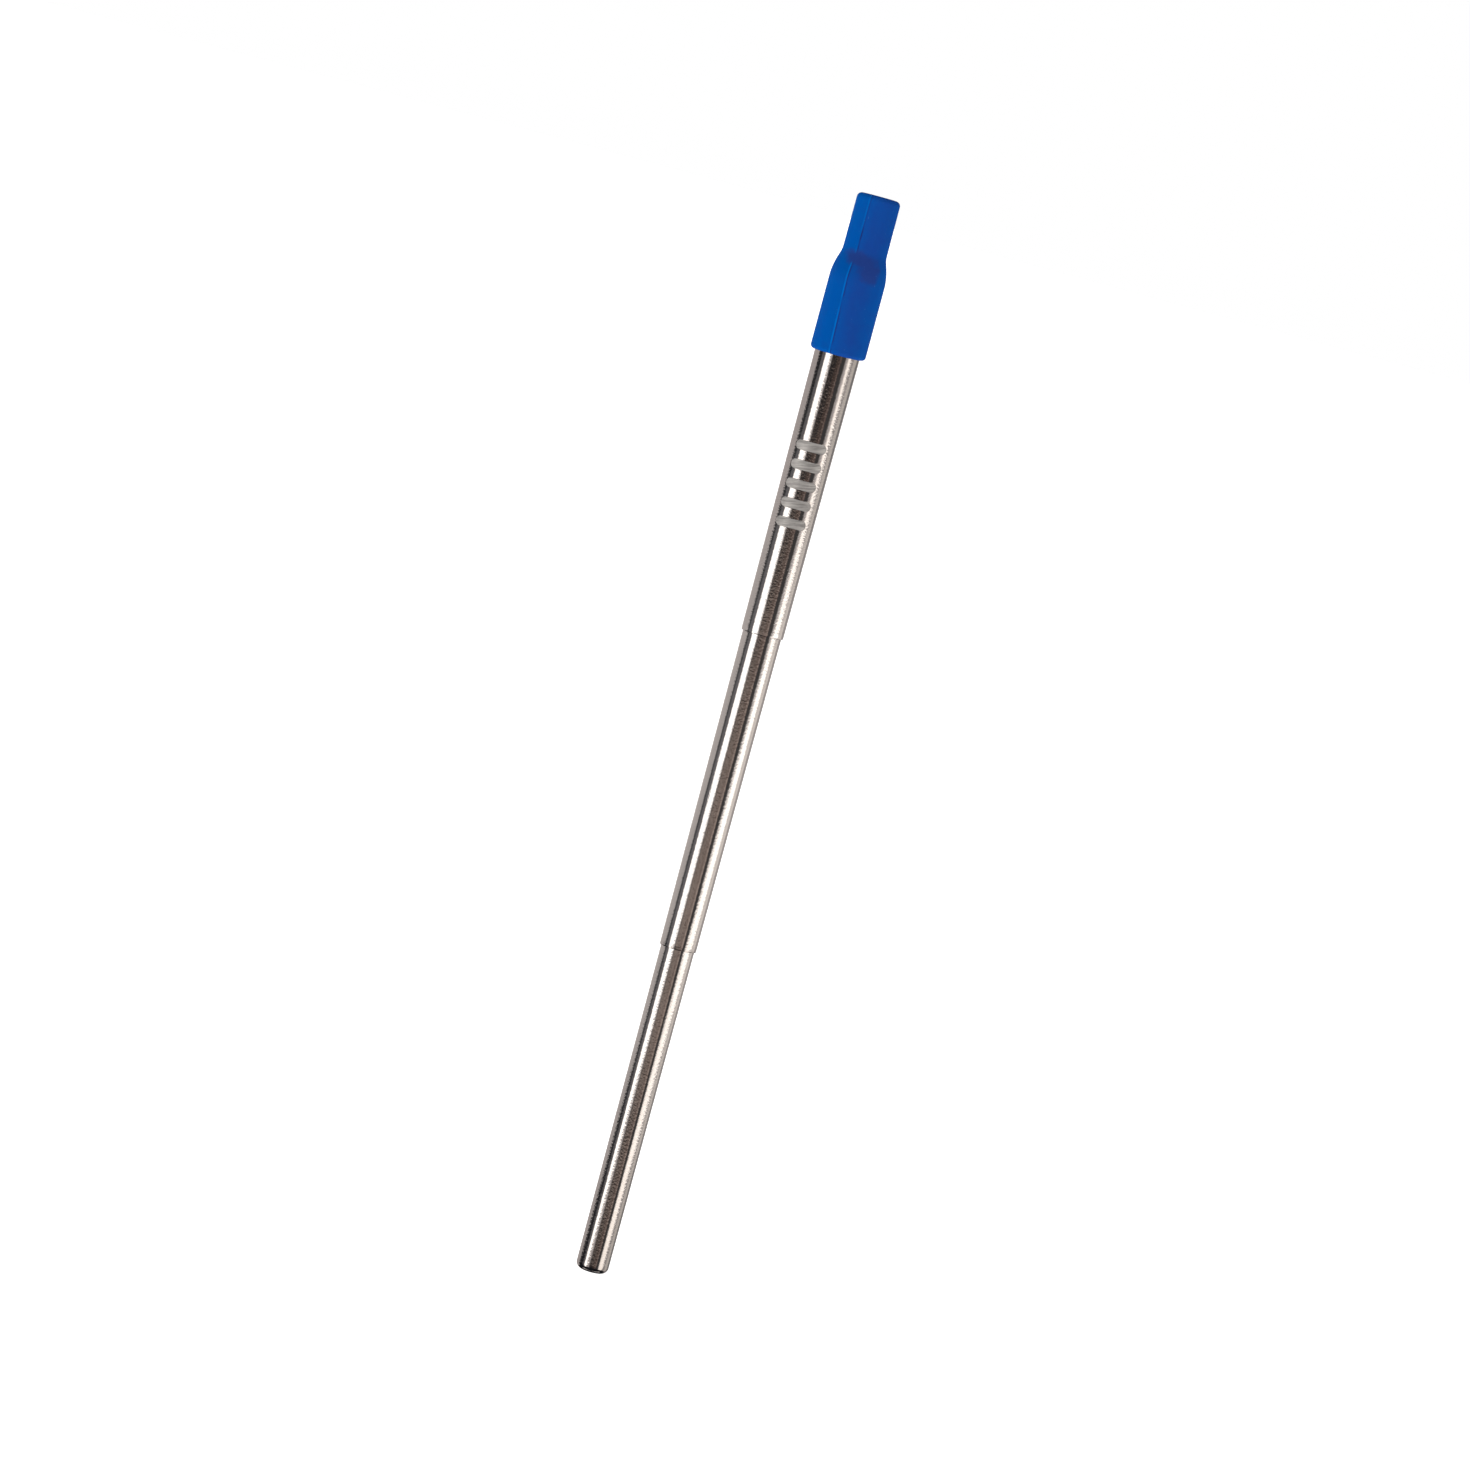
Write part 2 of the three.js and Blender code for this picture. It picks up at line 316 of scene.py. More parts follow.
def guarded(rings):
    """Adds a ring close to each end of every long straight, so that the bends don't shade it."""
    made = []
    for start, end in zip(rings, rings[1:] + rings[:1]):
        made.append(start)
        reach = (Vector(end) - Vector(start)).length
        if reach > LONG_STRAIGHT:
            near = GUARD / reach
            made += [tuple(Vector(start).lerp(Vector(end), f)) for f in (near, 1.0 - near)]
    return made


def turned(name, outline, sides):
    """Turns a closed outline about Z into a shell; its points are (radius, height).

    The first ring is a circle; every later one is extruded from it and resized, and the last is
    bridged to the first. An oval piece's points are (half width, half depth, height).
    """
    rings = guarded([(p[0], p[-2], p[-1]) for p in outline])
    deselect_all()
    bpy.ops.mesh.primitive_circle_add(vertices=sides, radius=1.0, enter_editmode=True)
    piece = bpy.context.object
    piece.name = piece.data.name = name
    width, depth, height = rings[0]
    bpy.ops.transform.resize(value=(width, depth, 1.0), center_override=(0, 0, 0))
    bpy.ops.transform.translate(value=(0, 0, height))
    for below, above in zip(rings, rings[1:]):
        rise = {"value": (0, 0, above[2] - below[2])}
        bpy.ops.mesh.extrude_edges_move(TRANSFORM_OT_translate=rise)
        growth = (above[0] / below[0], above[1] / below[1], 1.0)
        bpy.ops.transform.resize(value=growth, center_override=(0, 0, above[2]))
    bpy.ops.mesh.select_all(action="DESELECT")
    bpy.ops.mesh.select_non_manifold(extend=False)
    bpy.ops.mesh.bridge_edge_loops()
    bpy.ops.mesh.select_all(action="SELECT")
    bpy.ops.mesh.normals_make_consistent(inside=False)
    return finished(piece)


def finished(piece, sharp_degrees=32):
    """Leaves edit mode and shades the piece smooth up to an angle."""
    deselect_all()
    piece.select_set(True)
    bpy.context.view_layer.objects.active = piece
    bpy.ops.object.shade_smooth_by_angle(angle=math.radians(sharp_degrees))
    bpy.ops.object.select_all(action="DESELECT")
    if not piece.data.polygons:
        raise RuntimeError(piece.name + " came out empty")
    return piece


def widest(node, low, high):
    """Largest radius of a CAD node's vertices between two heights."""
    found = [
        math.hypot(v.co.x, v.co.y)
        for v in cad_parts[node].data.vertices
        if low - TINY <= v.co.z <= high + TINY
    ]
    return max(found)


def narrowest(node, low, high):
    found = [
        math.hypot(v.co.x, v.co.y)
        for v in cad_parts[node].data.vertices
        if low - TINY <= v.co.z <= high + TINY
    ]
    return min(found)


def settle(piece, body, node, material):
    """Gives a new piece its material and body, and hides the CAD node that it stands for."""
    piece.data.materials.clear()
    piece.data.materials.append(material)
    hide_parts(node)
    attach(piece, body)


# --- materials ----------------------------------------------------------------------------------

def toned(tint, factor):
    """A colour made darker, or lighter where the factor is over 1."""
    return [c * factor for c in tint]


def steel_material(name, settings, marked_at=None):
    """Polished steel with fine grinding lines round the tube, specks, smudges and shallow waves.

    marked_at is (height, radius, azimuth) of the middle etched bar, or None for a plain tube.
    """
    material = bpy.data.materials.new(name)
    graph = Graph(material)
    vector, x, y, z = graph.place()
    turn = graph.node("ShaderNodeMath", {"operation": "ARCTAN2"}, {0: y, 1: x})

    def stretched(across, along):
        return graph.vector(x * across, y * across, z * along)

    round_lines = graph.noise(stretched(60.0, 9000.0), detail=3.0, roughness=0.6)
    specks = graph.noise(vector, scale=2500.0, detail=2.0, roughness=0.6)
    smudges = graph.noise(stretched(160.0, 60.0), detail=3.0, roughness=0.55)
    waves = graph.noise(stretched(190.0, 55.0), detail=1.0, roughness=0.5)
    scratches = graph.noise(stretched(700.0, 42.0), detail=2.0, roughness=0.6)

    height = round_lines * 0.02 + specks * 0.5 - scratches.rises(0.66, 0.72) * 0.12
    rough = settings.polish + specks.rises(0.5, 0.75) * 0.03 + smudges.rises(0.5, 0.75) * 0.04
    base = graph.mix(smudges.rises(0.35, 0.7), settings.steel, toned(settings.steel, 0.93))
    normal = graph.bump(waves, WAVE_RELIEF)
    metallic = 1.0
    if marked_at:
        mask, step, outline, hatch = etched_bars(graph, turn, z, settings, marked_at)
        streak = graph.mix(hatch, toned(settings.etched, 1.25), toned(settings.etched, 0.66))
        base = graph.mix(mask, base, streak)
        # A dark ring round each bar: painted edge shadow.
        base = graph.mix(outline * 0.6, base, toned(settings.etched, 0.3))
        rough = rough * (1.0 - mask) + (0.5 + hatch * 0.12) * mask
        metallic = 1.0 - mask * 0.5
        normal = graph.bump(step, ETCHED_RELIEF, normal)
    normal = graph.bump(height, GRINDING_RELIEF, normal)
    graph.surface(Base_Color=base, Metallic=metallic, Roughness=rough, Normal=normal)
    return material


def etched_bars(graph, turn, z, settings, marked_at):
    """Plain round-ended bars laid round the tube: mask, sunk edge, painted edge shadow and brushing."""
    height, radius, azimuth = marked_at
    side = (turn - azimuth) * radius
    number = (settings.bars - 1) / 2.0
    steps = (z - height) / settings.bar_pitch
    nearest = steps.math("ROUND", steps).most(-number).least(number)
    across = z - height - nearest * settings.bar_pitch
    half = settings.bar_width / 2.0
    along = (abs(side) - (settings.bar_length / 2.0 - half)).most(0.0)
    distance = (along * along + across * across) ** 0.5 - half
    mask = distance.rises(0.00002, -0.00002)
    step = distance.rises(-0.0001, 0.00004)
    # The ring that carries the painted edge shadow.
    outline = distance.band(-0.00004, 0.00002, 0.00002)
    brushing = graph.vector(side * 260.0, 0.0, z * 3300.0 - side * 650.0)
    hatch = graph.noise(brushing, detail=3.0, roughness=0.65)
    return mask, step, outline, hatch.rises(0.35, 0.68)


def silicone_material(settings, bend):
    """Matte silicone: mould halves of slightly different tone with painted shade on one, a painted shade
    patch, a painted highlight and shadow along the moulding line, mottling, dust and fine grain.
    """
    material = bpy.data.materials.new("blue_silicone")
    graph = Graph(material)
    vector, x, y, z = graph.place()
    above = (z - bend.z).most(0.0) * math.tan(settings.seam_lean_mouth)
    below = (bend.z - z).most(0.0) * math.tan(settings.seam_lean)
    across = x - bend.x - above - below
    mottle = graph.noise(vector, scale=420.0, detail=3.0, roughness=0.55)
    grain = graph.noise(vector, scale=9000.0, detail=2.0, roughness=0.6)
    clouds = graph.noise(vector, scale=150.0, detail=2.0, roughness=0.5)
    # The half to the right of the moulding line is darker, most of all 2 to 3 mm away from it: partly the
    # mould half's own tone, partly painted shade.
    half = across.rises(-0.00004, 0.00008) * (0.55 + across.rises(0.0002, 0.002) * 0.45)
    half = half * across.rises(0.0062, 0.0032)
    tone = (half * (0.7 + clouds.rises(0.35, 0.65) * 0.25) + mottle.rises(0.42, 0.72) * 0.22).least(1.0)
    base = graph.mix(tone, settings.silicone, settings.shade)
    wander = (mottle - 0.5) * 1.6
    # Painted shade: a darker patch on the shoulder's front, the side toward the camera.
    side = x * math.cos(settings.spot_turn) + y * math.sin(settings.spot_turn)
    facing = (x * math.sin(settings.spot_turn) - y * math.cos(settings.spot_turn)).rises(0.0005, 0.0025)
    outside_shade_patch = 1.0
    for spot_side, spot_height, spot_width, spot_tall in painted_shade_spots():
        reach_side = (side - spot_side) / spot_width
        reach_up = (z - spot_height) / spot_tall
        spot = ((reach_side * reach_side + reach_up * reach_up) ** 0.5 + wander).rises(1.25, 0.55)
        base = graph.mix(spot * facing * 0.95, base, settings.painted_shoulder_shade)
        outside_shade_patch = (1.0 - spot * facing) * outside_shade_patch
    # Breaks up the moulding line's painted highlight and painted shadow, and keeps them off the shade patch.
    line_breakup = graph.noise(vector, scale=330.0, detail=2.0, roughness=0.5).rises(0.3, 0.5) * outside_shade_patch
    lower = (z - bend.z).rises(0.0, -0.004)
    upper = (z - bend.z).rises(0.0012, 0.0032)
    # The line's painted highlight is strongest below its bend, and its painted shadow at the bend.
    painted_highlight_line = across.band(-0.00028, -0.00002, 0.00005) * line_breakup * (lower * 0.85 + upper * 0.35 + 0.1)
    painted_shadow_line = across.band(0.00002, 0.00026, 0.00005) * line_breakup * (1.0 - lower * 0.3 - upper * 0.65)
    base = graph.mix(painted_highlight_line, base, settings.seam_highlight)
    base = graph.mix(painted_shadow_line, base, settings.crease)
    dust = graph.noise(vector, scale=2600.0, detail=1.0, roughness=0.5).rises(0.74, 0.8)
    dust_tint = (0.2, 0.32, 0.55)
    base = graph.mix(dust * 0.1, base, dust_tint)
    rough = 0.5 + clouds.rises(0.3, 0.7) * 0.08 + half * 0.05
    fine = graph.bump(grain * 0.6 + mottle * 0.8, SILICONE_RELIEF)
    graph.surface(
        Base_Color=base,
        Roughness=rough,
        Normal=fine,
        IOR=1.41,
        Specular_IOR_Level=0.012,
        Subsurface_Weight=0.1,
        Subsurface_Radius=(0.1, 0.5, 1.0),
        Subsurface_Scale=0.0005,
    )
    return material


def painted_shade_spots():
    """The two darkest places of the painted shade patch: side, height, half width and half height."""
    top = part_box("mouthpiece")[1].z
    return (
        (-0.0003, top - 0.0116, 0.0029, 0.0015),
        (0.0018, top - 0.0137, 0.0019, 0.0021),
    )


def plain_material(name, tint, rough):
    """Moulded polymer or rubber with soft mottling and a fine moulded grain."""
    material = bpy.data.materials.new(name)
    graph = Graph(material)
    vector = graph.place()[0]
    mottle = graph.noise(vector, scale=900.0, detail=3.0, roughness=0.55)
    grain = graph.noise(vector, scale=8000.0, detail=2.0, roughness=0.6)
    base = graph.mix(mottle.rises(0.35, 0.7), tint, toned(tint, 0.86))
    graph.surface(
        Base_Color=base,
        Roughness=rough + mottle.rises(0.3, 0.7) * 0.1,
        Normal=graph.bump(grain, MOULDED_RELIEF),
    )
    return material


# --- steel tubes --------------------------------------------------------------------------------

def necked_rim(height, rim_radius, guide_radius, settings):
    """Lower end of a tube, drawn in a little and then rolled in to guide the next one.

    Returns the outside points going up and the inside points going down.
    """
    edge = settings.rim_edge
    draw = settings.rim_draw
    lean = math.asin(draw / settings.rim_bend)
    drawn_in = settings.rim_bend * (1.0 - math.cos(lean))
    edge_radius = rim_radius - drawn_in - edge * math.cos(lean)
    edge_height = height + edge
    bend_height = edge_height - edge * math.sin(lean) + draw
    outside = [(guide_radius, height)]
    outside += arc(edge_radius, edge_height, edge, -90, -math.degrees(lean), 7)
    bend = settings.rim_bend
    outside += arc(rim_radius - bend, bend_height, bend, -math.degrees(lean), 0, 8)[1:]
    roll = rim_radius - guide_radius
    inside = arc(guide_radius, height + roll, roll - settings.wall, 0, -90, 6)
    return outside, inside


def head_outline(tube, sleeve, ring, body_radius_at, settings):
    """Grooved head of a tube: its outside going up, then its inside going down."""
    wall, gap, fold = settings.wall, settings.clearance, settings.fold
    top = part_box(tube)[1].z
    sleeve_low, sleeve_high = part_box(sleeve)[0].z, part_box(sleeve)[1].z
    ring_middle = (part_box(ring)[0].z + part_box(ring)[1].z) / 2.0
    floor = narrowest(sleeve, sleeve_low, sleeve_high) - gap
    land = widest(tube, sleeve_high, top)
    play = settings.wall / 2.0
    low, high = sleeve_low - play, sleeve_high + play
    ring_half = settings.seal_section / 2.0 + play
    body = body_radius_at(low)
    outside = [
        *arc(body - fold, low - fold, fold, 0, 90, 3),
        (floor, low),
        (floor, high),
        *arc(land - fold, high + fold, fold, -90, 0, 3),
        *arc(land - fold, ring_middle - ring_half - fold, fold, 0, 90, 3),
        (floor, ring_middle - ring_half),
        (floor, ring_middle + ring_half),
        *arc(land - fold, ring_middle + ring_half + fold, fold, -90, 0, 3),
        *arc(land - wall / 2.0, top - wall / 2.0, wall / 2.0, 0, 90, 4),
    ]
    inside = [
        *arc(land - wall / 2.0, top - wall / 2.0, wall / 2.0, 90, 180, 4)[1:],
        (land - wall, ring_middle + ring_half + wall),
        *arc(floor - wall + fold, ring_middle + ring_half + wall - fold, fold, 90, 180, 3),
        *arc(floor - wall + fold, ring_middle - ring_half - wall + fold, fold, 180, 270, 3),
        (land - wall, ring_middle - ring_half - wall),
        (land - wall, high + wall),
        *arc(floor - wall + fold, high + wall - fold, fold, 90, 180, 3),
        *arc(floor - wall + fold, low - wall + fold, fold, 180, 270, 3),
        (body_radius_at(low - wall) - wall, low - wall),
    ]
    return outside, inside


def taper(tube, low, high):
    """Radius of a tube's plain wall at any height, from two heights where the frame gives it."""
    rim = widest(tube, low, low + 0.001)
    end = widest(tube, high - 0.001, high)
    return lambda z: rim + (end - rim) * (z - low) / (high - low)


class STRAW_OT_outer_tube(bpy.types.Operator):
    """Makes the widest steel tube, with its rolled rim and etched bars"""

    bl_idname = "straw.outer_tube"
    bl_label = "Outer tube"

    def execute(self, context):
        settings = context.scene.straw_tubes
        low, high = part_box("outer_tube")[0].z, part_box("outer_tube")[1].z
        radius_at = taper("outer_tube", low, high)
        guide = narrowest("outer_tube", low, low + TINY)
        outside, inside = necked_rim(low, radius_at(low), guide, settings)
        half_wall = settings.wall / 2
        top_edge = arc(radius_at(high) - half_wall, high - half_wall, half_wall, 0, 180, 8)
        outline = [*outside, *top_edge, *inside]
        tube = turned("outer_tube_steel", outline, settings.sides)
        bar_z = low + settings.bar_height
        facing = context.scene.straw_studio.azimuth - math.pi / 2 + settings.bar_turn
        mark = (bar_z, radius_at(bar_z), facing)
        material = steel_material("polished_steel_etched", settings, mark)
        settle(tube, "outer_section", "outer_tube", material)
        return {"FINISHED"}


class STRAW_OT_middle_tube(bpy.types.Operator):
    """Makes the middle steel tube, with its rolled rim and grooved head"""

    bl_idname = "straw.middle_tube"
    bl_label = "Middle tube"

    def execute(self, context):
        settings = context.scene.straw_tubes
        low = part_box("middle_tube")[0].z
        radius_at = taper("middle_tube", low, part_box("middle_friction_sleeve")[0].z)
        guide = narrowest("middle_tube", low, low + TINY)
        outside, inside = necked_rim(low, radius_at(low), guide, settings)
        head = head_outline(
            "middle_tube", "middle_friction_sleeve", "middle_seal_ring", radius_at, settings
        )
        tube = turned("middle_tube_steel", [*outside, *head[0], *head[1], *inside], settings.sides)
        material = steel_material("polished_steel_middle", settings)
        settle(tube, "middle_section", "middle_tube", material)
        return {"FINISHED"}


class STRAW_OT_inner_tube(bpy.types.Operator):
    """Makes the narrowest steel tube, with its turned-in foot and grooved head"""

    bl_idname = "straw.inner_tube"
    bl_label = "Inner tube"

    def execute(self, context):
        settings = context.scene.straw_tubes
        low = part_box("inner_tube")[0].z
        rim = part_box("middle_tube")[0].z
        foot_top = low + settings.foot_edge
        foot_radius = widest("inner_tube", low, foot_top)
        head_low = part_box("inner_friction_sleeve")[0].z
        body_end = widest("inner_tube", rim, head_low)

        def radius_at(z):
            return foot_radius + (body_end - foot_radius) * (z - foot_top) / (head_low - foot_top)

        centre = foot_radius - settings.foot_edge
        hole = centre - settings.wall
        foot_out = arc(centre, foot_top, settings.foot_edge, -90, 0, 20)
        foot_in = arc(centre, foot_top, settings.foot_edge - settings.wall, 0, -90, 14)
        edge = arc(hole + settings.wall / 4, low + settings.wall * 0.75, settings.wall / 4, 90, 180, 3)
        edge_low = arc(hole + settings.wall / 4, low + settings.wall / 4, settings.wall / 4, 180, 270, 3)
        head = head_outline(
            "inner_tube", "inner_friction_sleeve", "inner_seal_ring", radius_at, settings
        )
        outline = [*edge_low, *foot_out, *head[0], *head[1], *foot_in, *edge]
        tube = turned("inner_tube_steel", outline, settings.sides)
        material = steel_material("polished_steel_inner", settings)
        settle(tube, "inner_section", "inner_tube", material)
        return {"FINISHED"}


# --- rings --------------------------------------------------------------------------------------

class STRAW_OT_friction_sleeves(bpy.types.Operator):
    """Makes the two split friction sleeves, with rounded edges and a slot"""

    bl_idname = "straw.friction_sleeves"
    bl_label = "Friction sleeves"

    def execute(self, context):
        settings = context.scene.straw_tubes
        material = plain_material("sleeve_polymer", settings.polymer, 0.42)
        for name, body in (("middle", "middle_sleeve"), ("inner", "inner_sleeve")):
            node = name + "_friction_sleeve"
            low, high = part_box(node)[0].z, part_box(node)[1].z
            outside, inside = widest(node, low, high), narrowest(node, low, high)
            edge = (outside - inside) / 5.0
            outline = [
                *arc(outside - edge, low + edge, edge, -90, 0, 4),
                *arc(outside - edge, high - edge, edge, 0, 90, 4),
                *arc(inside + edge, high - edge, edge, 90, 180, 4),
                *arc(inside + edge, low + edge, edge, 180, 270, 4),
            ]
            sleeve = turned(name + "_sleeve_polymer", outline, settings.sides)
            self.cut_slot(sleeve, settings.slot / 2.0)
            settle(sleeve, body, node, material)
        return {"FINISHED"}

    def cut_slot(self, sleeve, half):
        """Cuts a straight slot on the +X side and closes both cut ends."""
        bpy.context.view_layer.objects.active = sleeve
        bpy.ops.object.mode_set(mode="EDIT")
        for side in (-half, half):
            bpy.ops.mesh.select_all(action="SELECT")
            bpy.ops.mesh.bisect(plane_co=(0, side, 0), plane_no=(0, 1, 0))
        bpy.ops.mesh.select_mode(type="FACE")
        mesh = bmesh.from_edit_mesh(sleeve.data)
        for face in mesh.faces:
            middle = face.calc_center_median()
            face.select_set(abs(middle.y) < half and middle.x > 0)
        bmesh.update_edit_mesh(sleeve.data)
        bpy.ops.mesh.delete(type="FACE")
        bpy.ops.mesh.select_mode(type="EDGE")
        bpy.ops.mesh.select_non_manifold(extend=False)
        bpy.ops.mesh.edge_face_add()
        bpy.ops.mesh.select_mode(type="VERT")
        bpy.ops.mesh.select_all(action="SELECT")
        bpy.ops.mesh.normals_make_consistent(inside=False)
        finished(sleeve)


class STRAW_OT_seal_rings(bpy.types.Operator):
    """Makes the two round seal rings"""

    bl_idname = "straw.seal_rings"
    bl_label = "Seal rings"

    def execute(self, context):
        settings = context.scene.straw_tubes
        material = plain_material("seal_silicone", settings.seal, 0.5)
        for name, body in (("middle", "middle_section"), ("inner", "inner_section")):
            node = name + "_seal_ring"
            low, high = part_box(node)
            section = settings.seal_section / 2.0
            centre = high.x - section
            middle = (low.z + high.z) / 2.0
            outline = arc(centre, middle, section, -90, 270, 32)[:-1]
            ring = turned(name + "_seal_silicone", outline, settings.sides)
            settle(ring, body, node, material)
        return {"FINISHED"}


# --- mouthpiece ---------------------------------------------------------------------------------

class STRAW_OT_mouthpiece(bpy.types.Operator):
    """Makes the silicone mouthpiece, with its moulding line"""

    bl_idname = "straw.mouthpiece"
    bl_label = "Mouthpiece"

    def execute(self, context):
        settings = context.scene.straw_mouthpiece
        low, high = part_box("mouthpiece")
        outline = self.outline(settings, low.z, high.z, high.x)
        tip = turned("mouthpiece_silicone", outline, settings.sides)
        mouth_start = high.z - settings.mouth_length
        bend = Vector((settings.seam_offset, 0.0, mouth_start + settings.mouth_wall / settings.mouth_rings))
        self.raise_seam(tip, settings, bend)
        settle(tip, "mouthpiece", "mouthpiece", silicone_material(settings, bend))
        return {"FINISHED"}

    def outline(self, settings, low, high, base):
        """Closed outline of half width, half depth and height, up the outside and down the inside."""
        s = settings
        slope = math.degrees(s.shoulder_angle)
        mouth_start = high - s.mouth_length
        bends = s.shoulder_lower + s.shoulder_upper
        bends_in = bends * (1.0 - math.cos(s.shoulder_angle))
        straight = (base - s.mouth_half_width - bends_in) / math.tan(s.shoulder_angle)
        shoulder_start = mouth_start - bends * math.sin(s.shoulder_angle) - straight
        tube_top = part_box("outer_tube")[1]
        socket = tube_top.x + s.socket_clearance
        step = tube_top.z + s.step_gap
        lip = 0.00018
        outside = [
            *arc(socket + lip, low + lip, lip, 180, 270, 4),
            *arc(base - s.base_edge, low + s.base_edge, s.base_edge, -90, 0, 12),
            *[(base, low + (shoulder_start - low) * i / 8.0) for i in range(1, 8)],
            *arc(base - s.shoulder_lower, shoulder_start, s.shoulder_lower, 0, slope, 14),
            *arc(s.mouth_half_width + s.shoulder_upper, mouth_start, s.shoulder_upper, 180 + slope, 180, 10),
            *[
                (s.mouth_half_width + (s.mouth_top_half_width - s.mouth_half_width) * i / s.mouth_rings,
                 mouth_start + s.mouth_wall * i / s.mouth_rings)
                for i in range(1, s.mouth_rings)
            ],
            *arc(s.mouth_top_half_width - s.mouth_edge, high - s.mouth_edge, s.mouth_edge, 0, 90, 12),
        ]
        blend_top = step + s.channel_blend
        edge = s.channel_edge
        inside = arc(s.channel_half_width + edge, high - edge, edge, 90, 180, 4)
        inside += [
            (
                s.channel_start
                + (s.channel_half_width - s.channel_start) * smooth(z, step, blend_top),
                z,
            )
            for z in [blend_top - s.channel_blend * i / 10.0 for i in range(11)]
        ]
        inside += [(socket, step)]
        outer_flat = s.mouth_half_depth / s.mouth_half_width
        inner_flat = s.channel_half_depth / s.channel_half_width
        flattened = [
            (r, r * (1.0 - (1.0 - outer_flat) * smooth(z, shoulder_start, mouth_start)) - s.seam_height, z)
            for r, z in outside
        ]
        channel = [(r, r * (1.0 - (1.0 - inner_flat) * smooth(z, step, blend_top)), z) for r, z in inside]
        return [*flattened, *channel]

    def raise_seam(self, tip, settings, bend):
        """Cuts three lines along each of the mould's two leaning planes and lifts the middle one."""
        bpy.context.view_layer.objects.active = tip
        bpy.ops.object.mode_set(mode="EDIT")
        half = settings.seam_width / 2.0
        for part, lean in ((-1.0, settings.seam_lean), (1.0, -settings.seam_lean_mouth)):
            across = Vector((math.cos(lean), 0.0, math.sin(lean)))
            for offset in (-half, 0.0, half):
                self.select_part(tip, bend.z, part)
                bpy.ops.mesh.bisect(plane_co=bend + across * offset, plane_no=across)
            for side in (-1.0, 1.0):
                self.select_line(tip, bend, across, part, side)
                bpy.ops.transform.translate(value=(0.0, side * settings.seam_height, 0.0))
        bpy.ops.mesh.select_all(action="SELECT")
        bpy.ops.mesh.remove_doubles(threshold=TINY)
        finished(tip, sharp_degrees=50)

    def select_part(self, tip, height, part):
        """Selects the faces below a height, or those above it where part is 1."""
        mesh = bmesh.from_edit_mesh(tip.data)
        for face in mesh.faces:
            face.select_set((face.calc_center_median().z - height) * part > 0)
        mesh.select_flush(True)
        bmesh.update_edit_mesh(tip.data)

    def select_line(self, tip, bend, across, part, side):
        """Selects the outer skin's vertices on one plane, in front or behind, up to the bend."""
        near = TINY * 20
        outward = 0.3
        mesh = bmesh.from_edit_mesh(tip.data)
        for vertex in mesh.verts:
            offset = vertex.co - bend
            past_bend = offset.z * part > TINY - part * TINY * 2
            on_plane = abs(offset.dot(across)) < near and past_bend
            faces_out = vertex.normal.y * side > outward and vertex.co.y * side > 0
            vertex.select_set(on_plane and faces_out)
        mesh.select_flush(True)
        bmesh.update_edit_mesh(tip.data)


# --- studio -------------------------------------------------------------------------------------

